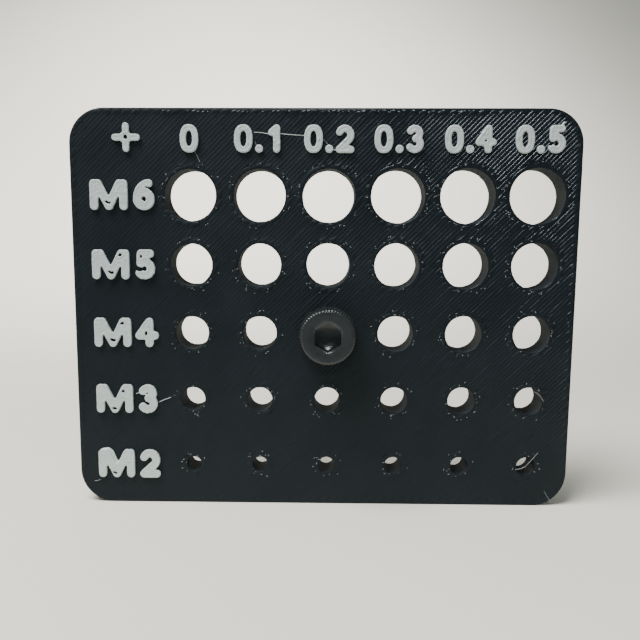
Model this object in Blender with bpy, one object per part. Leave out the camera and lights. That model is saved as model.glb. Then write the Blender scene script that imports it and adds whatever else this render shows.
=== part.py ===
"""Hole clearance gauge: a printed plate with a grid of screw holes, raised size marks and a trial screw.

Each row of holes belongs to one screw size and each column adds one clearance step, so a screw
pushed through a row shows which clearance the printer needs. A socket cap screw sits in one hole.
The plate stands on its bottom edge. The origin is the centre of that edge, +X runs along the rows,
+Z runs up and the marked front face looks along -Y. All sizes are in metres.
"""
import math

import bpy
import bmesh
from mathutils import Vector

# Hole grid
M6_SIZE = 0.0060
M5_SIZE = 0.0050
M4_SIZE = 0.0040
M3_SIZE = 0.0030
M2_SIZE = 0.0020
M6_SHRINK = 0.00002
M5_SHRINK = 0.00005
M4_SHRINK = 0.00008
M3_SHRINK = 0.00012
M2_SHRINK = 0.00025
SCREW_SIZES = {"m6": M6_SIZE, "m5": M5_SIZE, "m4": M4_SIZE, "m3": M3_SIZE, "m2": M2_SIZE}
PRINT_SHRINK = {"m6": M6_SHRINK, "m5": M5_SHRINK, "m4": M4_SHRINK, "m3": M3_SHRINK, "m2": M2_SHRINK}
CLEARANCE_STEP = 0.0001
COLUMN_COUNT = 6
HOLE_PITCH = 0.0080
HOLE_FACET = 0.00055
HOLE_FACETS_MIN = 16

# Plate
PLATE_THICKNESS = 0.0040
LABEL_MARGIN = 0.0139
HEADER_MARGIN = 0.0098
RIGHT_MARGIN = 0.0049
BOTTOM_MARGIN = 0.0049
CORNER_RADIUS = 0.0040
EDGE_CHAMFER = 0.00025
CORNER_FACETS = 10

# Raised marks
MARK_HEIGHT = 0.0004
SEAT_GAP = 0.00002
HEADER_RISE = 0.00634
HEADER_CAP = 0.0032
HEADER_PEN = 0.00086
HEADER_SPACING = 0.0018
HEADER_DIGIT_WIDTH = 0.0021
ZERO_WIDTH = 0.00218
ZERO_COUNTER_WIDTH = 0.00066
ZERO_COUNTER_HEIGHT = 0.0017
ZERO_FULLNESS = 2.4
ZERO_COUNTER_FULLNESS = 2.1
POINT_DIAMETER = 0.00097
ROW_CAP = 0.00362
ROW_PEN = 0.00108
LETTER_WIDTH = 0.0045
ROW_DIGIT_WIDTH = 0.0025
LETTER_INSET = 0.00449
DIGIT_INSET = 0.00856
PLUS_INSET = 0.00665
PLUS_SPAN = 0.0034
PLUS_LIFT = 0.00012
CAP_FACETS = 6
ARC_FACETS = 9
OVAL_FACETS = 28

# Width of each character against the width that its line of marks gives
GLYPH_SHARES = {"m": 1.0, "1": 0.90, "2": 1.045, "3": 0.94, "4": 0.99, "5": 0.98, "6": 1.07}

# Trial screw
TRIAL_ROW = "m4"
TRIAL_COLUMN = 2
SHANK_SLACK = 0.00015
SHANK_LENGTH = 0.0120
SHANK_POINT = 0.00045
HEAD_DIAMETER = 0.0068
HEAD_HEIGHT = 0.0040
HEAD_CHAMFER = 0.00040
HEX_ACROSS_FLATS = 0.0030
HEX_DEPTH = 0.0020
HEX_COUNTERSINK = 0.00020
COUNTERSINK_HALF_ANGLE = 60
SCREW_FACETS = 40

# Colours as linear red, green and blue, then roughness and metallic value
BLACK_FILAMENT = ((0.013, 0.018, 0.021), 0.45, 0.0)
GREY_FILAMENT = ((0.46, 0.50, 0.49), 0.40, 0.0)
BLACK_OXIDE = ((0.030, 0.028, 0.025), 0.38, 0.85)

# Places worked out from the sizes above
PLATE_WIDTH = LABEL_MARGIN + (COLUMN_COUNT - 1) * HOLE_PITCH + RIGHT_MARGIN
PLATE_HEIGHT = BOTTOM_MARGIN + (len(SCREW_SIZES) - 1) * HOLE_PITCH + HEADER_MARGIN
PLATE_LEFT = -PLATE_WIDTH / 2
FRONT_FACE_Y = -PLATE_THICKNESS / 2
ROW_NAMES = list(SCREW_SIZES)


def column_x(column):
    """Centre of a column of holes."""
    return PLATE_LEFT + LABEL_MARGIN + column * HOLE_PITCH


def row_z(row_name):
    """Centre height of a row of holes, the largest screw size on top."""
    rows_below = len(ROW_NAMES) - 1 - ROW_NAMES.index(row_name)
    return BOTTOM_MARGIN + rows_below * HOLE_PITCH


def hole_diameter(row_name, column):
    """Printed diameter: the screw size and its clearance, less what the print shrinks."""
    return SCREW_SIZES[row_name] + column * CLEARANCE_STEP - PRINT_SHRINK[row_name]


def clear_scene():
    """Remove the objects that a new file opens with."""
    for item in list(bpy.data.objects):
        bpy.data.objects.remove(item, do_unlink=True)


def make_material(name, look):
    """A plain Principled material from a colour, a roughness and a metallic value."""
    colour, roughness, metallic = look
    material = bpy.data.materials.new(name)
    material.use_nodes = True
    shader = material.node_tree.nodes["Principled BSDF"]
    shader.inputs["Base Color"].default_value = (*colour, 1.0)
    shader.inputs["Roughness"].default_value = roughness
    shader.inputs["Metallic"].default_value = metallic
    material.diffuse_color = (*colour, 1.0)
    return material


def add_object(name, mesh_builder, look):
    """Turn a bmesh into a named object with its own material."""
    bmesh.ops.remove_doubles(mesh_builder, verts=mesh_builder.verts, dist=1e-6)
    bmesh.ops.recalc_face_normals(mesh_builder, faces=mesh_builder.faces)
    mesh = bpy.data.meshes.new(name)
    mesh_builder.to_mesh(mesh)
    mesh_builder.free()
    item = bpy.data.objects.new(name, mesh)
    bpy.context.scene.collection.objects.link(item)
    mesh.materials.append(make_material(name, look))
    return item


def hide_as_cutter(item):
    """Mark an object as a tool that shapes another one."""
    item.hide_render = True
    item.display_type = "WIRE"


def add_boolean(item, operation, other):
    """Join another object to this one, or cut it away."""
    modifier = item.modifiers.new(other.name, "BOOLEAN")
    modifier.operation = operation
    modifier.solver = "EXACT"
    modifier.object = other
    hide_as_cutter(other)


def add_prism(mesh_builder, outline, y_front, y_back):
    """A closed prism along Y over a closed outline of (x, z) points."""
    front = [mesh_builder.verts.new((x, y_front, z)) for x, z in outline]
    back = [mesh_builder.verts.new((x, y_back, z)) for x, z in outline]
    mesh_builder.faces.new(front)
    mesh_builder.faces.new(list(reversed(back)))
    for index in range(len(outline)):
        following = (index + 1) % len(outline)
        mesh_builder.faces.new((front[index], back[index], back[following], front[following]))


def arc_points(centre, radii, start, end, facets):
    """Points along an elliptical arc in the XZ plane, with angles in degrees from +X."""
    points = []
    for step in range(facets + 1):
        angle = math.radians(start + (end - start) * step / facets)
        points.append((centre[0] + radii[0] * math.cos(angle), centre[1] + radii[1] * math.sin(angle)))
    return points


def circle_points(centre, diameter, facets):
    """A closed circle of points."""
    return arc_points(centre, (diameter / 2, diameter / 2), 0, 360, facets)[:-1]


def rounded_rectangle(left, right, bottom, top, radius, facets):
    """Closed outline of a rectangle with round corners."""
    corners = (
        (right - radius, top - radius, 0),
        (left + radius, top - radius, 90),
        (left + radius, bottom + radius, 180),
        (right - radius, bottom + radius, 270),
    )
    outline = []
    for x, z, start in corners:
        outline += arc_points((x, z), (radius, radius), start, start + 90, facets)
    return outline


# Plate

def plate_outline(inset):
    """The plate's outline, moved inwards all round."""
    return rounded_rectangle(PLATE_LEFT + inset, PLATE_LEFT + PLATE_WIDTH - inset, inset,
                             PLATE_HEIGHT - inset, CORNER_RADIUS - inset, CORNER_FACETS)


def plate_blank():
    """The plate before its holes, with a small chamfer round both faces."""
    builder = bmesh.new()
    back_face_y = FRONT_FACE_Y + PLATE_THICKNESS
    rings = []
    for y, inset in ((FRONT_FACE_Y, EDGE_CHAMFER), (FRONT_FACE_Y + EDGE_CHAMFER, 0.0),
                     (back_face_y - EDGE_CHAMFER, 0.0), (back_face_y, EDGE_CHAMFER)):
        rings.append([builder.verts.new((x, y, z)) for x, z in plate_outline(inset)])
    builder.faces.new(rings[0])
    builder.faces.new(list(reversed(rings[-1])))
    for ring, following_ring in zip(rings, rings[1:]):
        for index in range(len(ring)):
            following = (index + 1) % len(ring)
            builder.faces.new((ring[index], following_ring[index],
                               following_ring[following], ring[following]))
    return add_object("gauge_plate", builder, BLACK_FILAMENT)


def hole_cutters():
    """One object that holds a drill through the plate for each hole of the grid."""
    builder = bmesh.new()
    for row_name in ROW_NAMES:
        for column in range(COLUMN_COUNT):
            diameter = hole_diameter(row_name, column)
            facets = max(HOLE_FACETS_MIN, round(math.pi * diameter / HOLE_FACET))
            outline = circle_points((column_x(column), row_z(row_name)), diameter, facets)
            add_prism(builder, outline, FRONT_FACE_Y - PLATE_THICKNESS,
                      FRONT_FACE_Y + 2 * PLATE_THICKNESS)
    return add_object("hole_cutters", builder, BLACK_FILAMENT)


def build_plate():
    """The black plate with its grid of through holes."""
    plate = plate_blank()
    add_boolean(plate, "DIFFERENCE", hole_cutters())


# Pen strokes for the marks. A glyph is a list of smooth strokes. Each stroke is a list of (x, z)
# points, with x from 0 to 1 across the glyph's width and z from 0 to 1 up its height.

def glyph_strokes(character):
    """The smooth strokes that draw one character."""
    two_bowl = arc_points((0.48, 0.68), (0.50, 0.32), 155, -35, ARC_FACETS)
    strokes = {
        "m": [
            [(0.0, 0.0), (0.0, 1.0)],
            [(0.13, 1.0), (0.5, 0.0)],
            [(0.5, 0.0), (0.87, 1.0)],
            [(1.0, 1.0), (1.0, 0.0)],
        ],
        "1": [
            [(0.15, 0.80), (0.70, 1.0)],
            [(0.70, 1.0), (0.70, 0.0)],
        ],
        "2": [
            two_bowl,
            [two_bowl[-1], (0.0, 0.0)],
            [(0.0, 0.0), (1.0, 0.0)],
        ],
        "3": [
            arc_points((0.40, 0.76), (0.50, 0.24), 150, -80, ARC_FACETS),
            arc_points((0.40, 0.27), (0.58, 0.27), 80, -145, ARC_FACETS),
        ],
        "4": [
            [(0.70, 1.0), (-0.16, 0.36)],
            [(-0.16, 0.36), (1.16, 0.36)],
            [(0.70, 1.0), (0.70, 0.0)],
        ],
        "5": [
            [(0.90, 1.0), (0.14, 1.0)],
            [(0.14, 1.0), (0.10, 0.54)],
            arc_points((0.42, 0.31), (0.56, 0.31), 125, -140, ARC_FACETS),
        ],
        "6": [
            arc_points((0.98, 0.34), (0.96, 0.68), 98, 180, ARC_FACETS),
            arc_points((0.50, 0.31), (0.48, 0.31), 180, 0, ARC_FACETS),
            arc_points((0.50, 0.31), (0.48, 0.31), 0, -180, ARC_FACETS),
        ],
    }
    return strokes[character]


def stroke_outline(path, pen):
    """Closed outline of a round-ended pen stroke of one width along a smooth path."""
    half = pen / 2
    count = len(path)
    left_side = []
    right_side = []
    headings = []
    for index, (x, z) in enumerate(path):
        before = Vector(path[max(index - 1, 0)])
        after = Vector(path[min(index + 1, count - 1)])
        heading = (after - before).normalized()
        headings.append(math.degrees(math.atan2(heading.y, heading.x)))
        left_side.append((x - heading.y * half, z + heading.x * half))
        right_side.append((x + heading.y * half, z - heading.x * half))
    start_cap = arc_points(path[0], (half, half), headings[0] + 90, headings[0] + 270, CAP_FACETS)
    end_cap = arc_points(path[-1], (half, half), headings[-1] - 90, headings[-1] + 90, CAP_FACETS)
    return right_side[:-1] + end_cap + list(reversed(left_side[:-1])) + start_cap[1:-1]


def add_mark(name, outlines, holes=()):
    """One raised mark on the front face: outlines joined into one body, less its holes."""
    y_back = FRONT_FACE_Y - SEAT_GAP
    y_front = FRONT_FACE_Y - MARK_HEIGHT
    pieces = []
    for number, outline in enumerate(outlines):
        builder = bmesh.new()
        add_prism(builder, outline, y_front, y_back)
        piece_name = name if number == 0 else f"{name}_stroke_{number}"
        pieces.append(add_object(piece_name, builder, GREY_FILAMENT))
    for piece in pieces[1:]:
        add_boolean(pieces[0], "UNION", piece)
    for number, outline in enumerate(holes):
        builder = bmesh.new()
        add_prism(builder, outline, y_front - MARK_HEIGHT, y_back + MARK_HEIGHT)
        add_boolean(pieces[0], "DIFFERENCE", add_object(f"{name}_hole_{number}", builder, GREY_FILAMENT))


def add_glyph(name, character, centre, width, cap, pen):
    """A raised character drawn with a round pen, centred on a point of the front face."""
    outlines = []
    drawn_width = width * GLYPH_SHARES[character]
    for stroke in glyph_strokes(character):
        path = [(centre[0] + (x - 0.5) * (drawn_width - pen), centre[1] + (z - 0.5) * (cap - pen))
                for x, z in stroke]
        outlines.append(stroke_outline(path, pen))
    add_mark(name, outlines)


def oval_points(centre, width, height, fullness):
    """An upright oval as (x, z) points. A fullness of 2 gives an ellipse, and more fills its corners."""
    points = []
    for step in range(OVAL_FACETS):
        angle = 2 * math.pi * step / OVAL_FACETS
        across = math.copysign(abs(math.cos(angle)) ** (2 / fullness), math.cos(angle))
        up = math.copysign(abs(math.sin(angle)) ** (2 / fullness), math.sin(angle))
        points.append((centre[0] + across * width / 2, centre[1] + up * height / 2))
    return points


def add_zero(name, centre):
    """A raised zero: an upright oval ring."""
    outside = oval_points(centre, ZERO_WIDTH, HEADER_CAP, ZERO_FULLNESS)
    counter = oval_points(centre, ZERO_COUNTER_WIDTH, ZERO_COUNTER_HEIGHT, ZERO_COUNTER_FULLNESS)
    add_mark(name, [outside], [counter])


def add_point(name, centre_x, baseline_z):
    """A raised decimal point that stands on the baseline."""
    centre = (centre_x, baseline_z + POINT_DIAMETER / 2)
    add_mark(name, [circle_points(centre, POINT_DIAMETER, 2 * CORNER_FACETS)])


def add_plus(name, centre):
    """A raised plus sign."""
    reach = (PLUS_SPAN - HEADER_PEN) / 2
    across = [(centre[0] - reach, centre[1]), (centre[0] + reach, centre[1])]
    upright = [(centre[0], centre[1] - reach), (centre[0], centre[1] + reach)]
    add_mark(name, [stroke_outline(across, HEADER_PEN), stroke_outline(upright, HEADER_PEN)])


DIGIT_NAMES = ("zero", "one", "two", "three", "four", "five", "six", "seven", "eight", "nine")


def build_header_marks():
    """The plus sign and the clearance of each column, above the top row of holes."""
    header_z = row_z(ROW_NAMES[0]) + HEADER_RISE
    baseline_z = header_z - HEADER_CAP / 2
    add_plus("mark_plus", (PLATE_LEFT + PLUS_INSET, header_z + PLUS_LIFT))
    add_zero("mark_0", (column_x(0), header_z))
    for column in range(1, COLUMN_COUNT):
        digit = str(column)
        base_name = f"mark_0_{digit}"
        add_zero(f"{base_name}_zero", (column_x(column) - HEADER_SPACING, header_z))
        add_point(f"{base_name}_point", column_x(column), baseline_z)
        add_glyph(f"{base_name}_{DIGIT_NAMES[column]}", digit,
                  (column_x(column) + HEADER_SPACING, header_z), HEADER_DIGIT_WIDTH,
                  HEADER_CAP, HEADER_PEN)


def build_row_marks():
    """The screw size of each row, left of its holes."""
    for row_name in ROW_NAMES:
        letter, digit = row_name
        add_glyph(f"mark_{row_name}_letter", letter, (PLATE_LEFT + LETTER_INSET, row_z(row_name)),
                  LETTER_WIDTH, ROW_CAP, ROW_PEN)
        add_glyph(f"mark_{row_name}_{DIGIT_NAMES[int(digit)]}", digit,
                  (PLATE_LEFT + DIGIT_INSET, row_z(row_name)), ROW_DIGIT_WIDTH, ROW_CAP, ROW_PEN)


# Trial screw

def turned_solid(name, profile, axis_x, axis_z, look):
    """A solid turned about a line along Y, from (radius, y) points that start and end on the line."""
    builder = bmesh.new()
    rings = []
    for radius, y in profile:
        if radius == 0.0:
            rings.append([builder.verts.new((axis_x, y, axis_z))])
        else:
            outline = circle_points((axis_x, axis_z), 2 * radius, SCREW_FACETS)
            rings.append([builder.verts.new((x, y, z)) for x, z in outline])
    for ring, following_ring in zip(rings, rings[1:]):
        for index in range(SCREW_FACETS):
            following = (index + 1) % SCREW_FACETS
            if len(ring) == 1:
                builder.faces.new((ring[0], following_ring[following], following_ring[index]))
            elif len(following_ring) == 1:
                builder.faces.new((ring[index], ring[following], following_ring[0]))
            else:
                builder.faces.new((ring[index], ring[following],
                                   following_ring[following], following_ring[index]))
    return add_object(name, builder, look)


def hex_key_socket(axis_x, axis_z, head_front_y):
    """Cutter for the six-sided key socket, with flats left and right and a countersunk mouth."""
    corner_radius = HEX_ACROSS_FLATS / math.sqrt(3)
    mouth_radius = corner_radius + HEX_COUNTERSINK
    clear = HEX_DEPTH
    flare = math.tan(math.radians(COUNTERSINK_HALF_ANGLE))
    mouth = turned_solid("socket_mouth_cutter", (
        (0.0, head_front_y - clear),
        (mouth_radius + clear * flare, head_front_y - clear),
        (0.0, head_front_y + mouth_radius / flare),
    ), axis_x, axis_z, BLACK_OXIDE)
    builder = bmesh.new()
    outline = [(axis_x + corner_radius * math.sin(math.radians(angle)),
                axis_z + corner_radius * math.cos(math.radians(angle))) for angle in range(0, 360, 60)]
    add_prism(builder, outline, head_front_y - clear, head_front_y + HEX_DEPTH)
    return mouth, add_object("socket_hex_cutter", builder, BLACK_OXIDE)


def build_screw():
    """The socket cap screw in its trial hole, head against the front face."""
    axis_x = column_x(TRIAL_COLUMN)
    axis_z = row_z(TRIAL_ROW)
    seat_y = FRONT_FACE_Y - SEAT_GAP
    head_front_y = seat_y - HEAD_HEIGHT
    tip_y = seat_y + SHANK_LENGTH
    shank_radius = (hole_diameter(TRIAL_ROW, TRIAL_COLUMN) - SHANK_SLACK) / 2
    head_radius = HEAD_DIAMETER / 2
    screw = turned_solid("socket_screw", (
        (0.0, head_front_y),
        (head_radius - HEAD_CHAMFER, head_front_y),
        (head_radius, head_front_y + HEAD_CHAMFER),
        (head_radius, seat_y),
        (shank_radius, seat_y),
        (shank_radius, tip_y - SHANK_POINT),
        (shank_radius - SHANK_POINT, tip_y),
        (0.0, tip_y),
    ), axis_x, axis_z, BLACK_OXIDE)
    for cutter in hex_key_socket(axis_x, axis_z, head_front_y):
        add_boolean(screw, "DIFFERENCE", cutter)


def main():
    """Build the whole gauge."""
    clear_scene()
    build_plate()
    build_header_marks()
    build_row_marks()
    build_screw()


main()
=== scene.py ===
"""Looks of a printed hole clearance gauge: its filament beads, raised marks, trial screw and studio."""
import math

import bmesh
import bpy
import numpy as np
from bpy.props import FloatProperty, FloatVectorProperty, IntProperty, PointerProperty
from bpy.types import Operator, Panel, PropertyGroup
from mathutils import Matrix, Vector, noise
from mathutils.kdtree import KDTree


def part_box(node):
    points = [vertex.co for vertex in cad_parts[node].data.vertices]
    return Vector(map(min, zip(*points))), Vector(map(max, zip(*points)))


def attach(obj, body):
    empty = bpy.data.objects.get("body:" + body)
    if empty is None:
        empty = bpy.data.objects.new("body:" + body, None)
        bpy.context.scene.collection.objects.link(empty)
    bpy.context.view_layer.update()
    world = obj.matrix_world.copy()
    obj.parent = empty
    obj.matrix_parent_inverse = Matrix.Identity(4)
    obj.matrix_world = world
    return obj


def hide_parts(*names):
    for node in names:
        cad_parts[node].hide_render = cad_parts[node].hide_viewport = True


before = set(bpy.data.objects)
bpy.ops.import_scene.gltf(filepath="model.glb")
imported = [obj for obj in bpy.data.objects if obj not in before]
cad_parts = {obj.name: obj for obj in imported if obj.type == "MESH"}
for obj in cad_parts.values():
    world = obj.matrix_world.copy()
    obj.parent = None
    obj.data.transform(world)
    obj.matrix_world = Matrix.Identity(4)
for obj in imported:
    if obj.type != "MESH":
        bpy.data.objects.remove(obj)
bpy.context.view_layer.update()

bl_info = {
    "name": "Printed Hole Gauge",
    "version": (1, 0, 0),
    "blender": (4, 5, 0),
    "location": "3D View > Sidebar > Gauge",
    "description": "Builds the surface of a printed hole clearance gauge round its solids",
    "category": "Object",
}

MM = 0.001
BODY = "root"
PLATE_LOW, PLATE_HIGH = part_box("gauge_plate")
PLATE_WIDTH = PLATE_HIGH.x - PLATE_LOW.x
PLATE_HEIGHT = PLATE_HIGH.z - PLATE_LOW.z
PLATE_X = (PLATE_LOW.x + PLATE_HIGH.x) / 2
PLATE_Z = (PLATE_LOW.z + PLATE_HIGH.z) / 2
FRONT_Y = PLATE_LOW.y
BACK_Y = PLATE_HIGH.y
SCREW_LOW, SCREW_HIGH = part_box("socket_screw")
SCREW_X = (SCREW_LOW.x + SCREW_HIGH.x) / 2
SCREW_Z = (SCREW_LOW.z + SCREW_HIGH.z) / 2
HEAD_Y = SCREW_LOW.y
TIP_Y = SCREW_HIGH.y

HOLE_PITCH = 8.0 * MM
# Radius of the screw's thread over its crests.
CREST_RADIUS = 1.98 * MM
# Width of one printed line on a mark's face.
RIM_LINE = 0.42 * MM
# Below the slanted line x + z = PRESSED_FROM the front's lines get flatter over PRESSED_FADE.
PRESSED_FROM = 52 * MM
PRESSED_FADE = 24 * MM


def linear_colour(hex_code):
    """An sRGB hex colour as linear red, green and blue."""
    channels = [int(hex_code[start:start + 2], 16) / 255 for start in (1, 3, 5)]
    return tuple(c / 12.92 if c <= 0.04045 else ((c + 0.055) / 1.055) ** 2.4 for c in channels)


def length(name, description, default):
    """A length property in metres, shown fine enough for tenths of a millimetre."""
    return FloatProperty(name=name, description=description, default=default, min=0.0,
                         unit="LENGTH", precision=6)


def power(name, description, default):
    """A property for a light's power in watts."""
    return FloatProperty(name=name, description=description, default=default, min=0.0, unit="POWER")


def colour(name, description, hex_code):
    """A colour property from an sRGB hex value."""
    return FloatVectorProperty(name=name, description=description, subtype="COLOR", size=3,
                               min=0.0, max=1.0, default=linear_colour(hex_code))


# Settings

class GaugePlateSettings(PropertyGroup):
    """Sizes and colour of the printed plate."""
    bead_width: length("Bead width", "Spacing of the extruded lines", 0.40 * MM)
    bead_crown: length("Bead crown", "Height of a line above the plate's core", 0.038 * MM)
    layer_height: length("Layer height", "Spacing of the layers in the walls", 0.20 * MM)
    layer_groove: length("Layer groove", "Depth of the groove between two layers", 0.03 * MM)
    pressed: FloatProperty(name="Pressed", description="How much flatter the lines are away from a corner",
                           default=0.35, min=0.0, max=1.0)
    corner_radius: length("Corner radius", "Radius of the plate's corners", 4.0 * MM)
    outline_loops: IntProperty(name="Outline loops", description="Lines that follow the outline",
                               default=1, min=1, max=6)
    hole_loops: IntProperty(name="Hole loops", description="Lines that follow each hole",
                            default=1, min=1, max=4)
    filament: colour("Filament", "Colour of the black filament", "#171c1f")


class GaugeMarkSettings(PropertyGroup):
    """Sizes and colour of the raised marks."""
    cell: length("Cell", "Edge of the cells that the marks are remeshed with", 0.045 * MM)
    lump: length("Lump", "Height of the lumps on the marks", 0.02 * MM)
    ridge: length("Ridge", "Height of the lines that follow a mark's rim", 0.011 * MM)
    row_shrink: length("Row shrink", "How far the row marks' rims drew in as they cooled", 0.055 * MM)
    header_shrink: length("Header shrink", "The same for the numbers of the header", 0.025 * MM)
    filament: colour("Filament", "Colour of the light grey filament", "#b7c1be")


class GaugeScrewSettings(PropertyGroup):
    """Sizes and colour of the trial screw."""
    pitch: length("Thread pitch", "Distance from one thread to the next", 0.70 * MM)
    thread_depth: length("Thread depth", "Height of the thread above its core", 0.40 * MM)
    knurl_depth: length("Knurl depth", "Depth of the grooves round the head", 0.17 * MM)
    knurl_teeth: IntProperty(name="Knurl teeth", description="Teeth round the head",
                             default=58, min=12, max=120)
    hex_across: length("Hex across flats", "Width of the key socket", 3.0 * MM)
    hex_depth: length("Hex depth", "Depth of the key socket", 2.0 * MM)
    coating: colour("Coating", "Colour of the black oxide", "#363939")


class GaugeStageSettings(PropertyGroup):
    """Floor and light of the studio."""
    paper: colour("Paper", "Colour of the paper sweep", "#e7e3d6")
    overhead_power: power("Overhead power", "Power of the large soft light", 2.1)
    backdrop_power: power("Backdrop power", "Power of the pool of light behind", 16.5)
    front_power: power("Front power", "Power of the small light by the camera", 0.45)
    sky: FloatProperty(name="Sky", description="Strength of the light from all round", default=0.20,
                       min=0.0)


# Nodes

def set_inputs(node, values):
    """Set values on a node's own sockets."""
    for socket, value in values.items():
        node.inputs[socket].default_value = value


def feed(tree, node, links):
    """Link sources to a node's sockets. A source is a socket, or a node for its first output."""
    for socket, source in links.items():
        tree.links.new(getattr(source, "outputs", (source,))[0], node.inputs[socket])


def add_node(tree, kind, values=None, links=None, **settings):
    """Add a node with its settings, its socket values and what feeds it."""
    node = tree.nodes.new(kind)
    for name, value in settings.items():
        setattr(node, name, value)
    set_inputs(node, values or {})
    feed(tree, node, links or {})
    return node


def new_tree(name, sizes, counts=()):
    """A geometry tree with sizes, counts and a material to set. Returns it with its input sockets."""
    tree = bpy.data.node_groups.new(name, "GeometryNodeTree")
    inputs = [("Geometry", "Geometry"), *((size, "Float") for size in sizes),
              *((count, "Int") for count in counts), ("Material", "Material")]
    for socket_name, kind in inputs:
        tree.interface.new_socket(socket_name, in_out="INPUT", socket_type="NodeSocket" + kind)
    tree.interface.new_socket("Geometry", in_out="OUTPUT", socket_type="NodeSocketGeometry")
    return tree, tree.nodes.new("NodeGroupInput").outputs


def sweep(tree, curve, scale, ring, half_width, half_height):
    """Carry a unit ring, stretched to a bead's section, along a curve. The scale varies its size."""
    level = add_node(tree, "GeometryNodeSetCurveNormal", links={"Curve": curve}, mode="Z_UP")
    sized = add_node(tree, "GeometryNodeSetCurveRadius", links={"Curve": level, "Radius": scale})
    flat = add_node(tree, "ShaderNodeCombineXYZ", {"Z": 1.0}, {"X": half_width, "Y": half_height})
    section = add_node(tree, "GeometryNodeTransform", links={"Geometry": ring, "Scale": flat})
    return add_node(tree, "GeometryNodeCurveToMesh", {"Fill Caps": True},
                    {"Curve": sized, "Profile Curve": section})


def close_tree(tree, geometry, material):
    """End a geometry tree: stand up what was laid flat, and make it real geometry with its material."""
    upright = add_node(tree, "GeometryNodeTransform", {"Rotation": (math.pi / 2, 0.0, 0.0)},
                       {"Geometry": geometry})
    smooth = add_node(tree, "GeometryNodeSetShadeSmooth", links={"Geometry": upright})
    real = add_node(tree, "GeometryNodeRealizeInstances", links={"Geometry": smooth})
    painted = add_node(tree, "GeometryNodeSetMaterial", links={"Geometry": real, "Material": material})
    add_node(tree, "NodeGroupOutput", links={"Geometry": painted})


# Meshes and objects

def join_rings(builder, rings):
    """Faces between a stack of rings of vertices. A ring may be a single vertex, as the tip of a cone."""
    for ring, next_ring in zip(rings, rings[1:]):
        count = max(len(ring), len(next_ring))
        for index in range(count):
            following = (index + 1) % count
            corners = (ring[index % len(ring)], next_ring[index % len(next_ring)],
                       next_ring[following % len(next_ring)], ring[following % len(ring)])
            builder.faces.new(list(dict.fromkeys(corners)))


def solid_builder(node_name):
    """A builder that holds a part's solid with its split vertices joined."""
    builder = bmesh.new()
    builder.from_mesh(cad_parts[node_name].data)
    bmesh.ops.remove_doubles(builder, verts=builder.verts, dist=1e-6)
    return builder


def built_mesh(name, builder):
    """Turn a builder into a mesh whose faces look outwards, and free it."""
    bmesh.ops.recalc_face_normals(builder, faces=builder.faces)
    mesh = bpy.data.meshes.new(name)
    builder.to_mesh(mesh)
    builder.free()
    return mesh


def link_object(name, data):
    """Put a mesh, a light or a camera into the scene as an object."""
    item = bpy.data.objects.new(name, data)
    bpy.context.scene.collection.objects.link(item)
    return item


def add_cuts(item, cutters):
    """Cut each cutter out of an object with a Boolean modifier."""
    for cutter in cutters:
        cut = item.modifiers.new(cutter.name, "BOOLEAN")
        cut.operation = "DIFFERENCE"
        cut.solver = "EXACT"
        cut.object = cutter


def make_plain(item, cutters=()):
    """Turn an object with modifiers into the plain mesh that they give, and remove its cutters."""
    graph = bpy.context.evaluated_depsgraph_get()
    mesh = bpy.data.meshes.new_from_object(item.evaluated_get(graph))
    item.modifiers.clear()
    item.data = mesh
    for cutter in cutters:
        bpy.data.objects.remove(cutter, do_unlink=True)
    return item


def run_tree(name, mesh, tree, values):
    """Run a geometry tree on a mesh and keep the result as a plain mesh object."""
    item = link_object(name, mesh)
    modifier = item.modifiers.new(tree.name, "NODES")
    modifier.node_group = tree
    sockets = {s.name: s.identifier for s in tree.interface.items_tree if s.in_out == "INPUT"}
    for socket_name, value in values.items():
        modifier[sockets[socket_name]] = value
    return make_plain(item)


def finish_piece(item, slot_name, *nodes):
    """Fix a finished piece to the gauge and hide the solids that it stands for. Its slot name, for its
    finish, is not used.
    """
    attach(item, BODY)
    if nodes:
        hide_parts(*nodes)


def path_mesh(name, paths):
    """A mesh of edges along paths. A path is a list of (x, z, lift, scale) points and a closed flag."""
    points = []
    edges = []
    for path, closed in paths:
        first = len(points)
        points += path
        edges += [(first + i, first + i + 1) for i in range(len(path) - 1)]
        if closed:
            edges.append((len(points) - 1, first))
    mesh = bpy.data.meshes.new(name)
    mesh.from_pydata([(x, z, lift) for x, z, lift, _ in points], edges, [])
    scales = mesh.attributes.new("bead_scale", "FLOAT", "POINT")
    scales.data.foreach_set("value", [scale for _, _, _, scale in points])
    return mesh


# Materials

def object_noise(tree, size, detail):
    """Noise in object space whose lumps are about one size across, in metres."""
    place = add_node(tree, "ShaderNodeTexCoord")
    return add_node(tree, "ShaderNodeTexNoise", {"Scale": 1 / size, "Detail": detail},
                    {"Vector": place.outputs["Object"]}).outputs["Fac"]


def patchy_material(name, size, detail, dark, light):
    """A material whose colour runs in patches from dark to light. Returns it with its tree, its
    Principled shader and the strength of its patches."""
    material = bpy.data.materials.new(name)
    material.use_nodes = True
    tree = material.node_tree
    shader = tree.nodes["Principled BSDF"]
    patches = object_noise(tree, size, detail)
    # A colour mix has its factor on socket 0, its two colours on 6 and 7, and its result on 2.
    mix = add_node(tree, "ShaderNodeMix", {6: (*dark, 1.0), 7: (*light, 1.0)}, {0: patches},
                   data_type="RGBA")
    feed(tree, shader, {"Base Color": mix.outputs[2]})
    return material, tree, shader, patches


def patchy_roughness(tree, patches, smoothest, dullest):
    """Roughness that follows a material's patches."""
    return add_node(tree, "ShaderNodeMapRange", {"From Min": 0.3, "From Max": 0.7, "To Min": smoothest,
                                                 "To Max": dullest}, {"Value": patches})


def shaded(colour_value, factor):
    """A colour made darker or lighter."""
    return tuple(min(1.0, channel * factor) for channel in colour_value)


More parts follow.
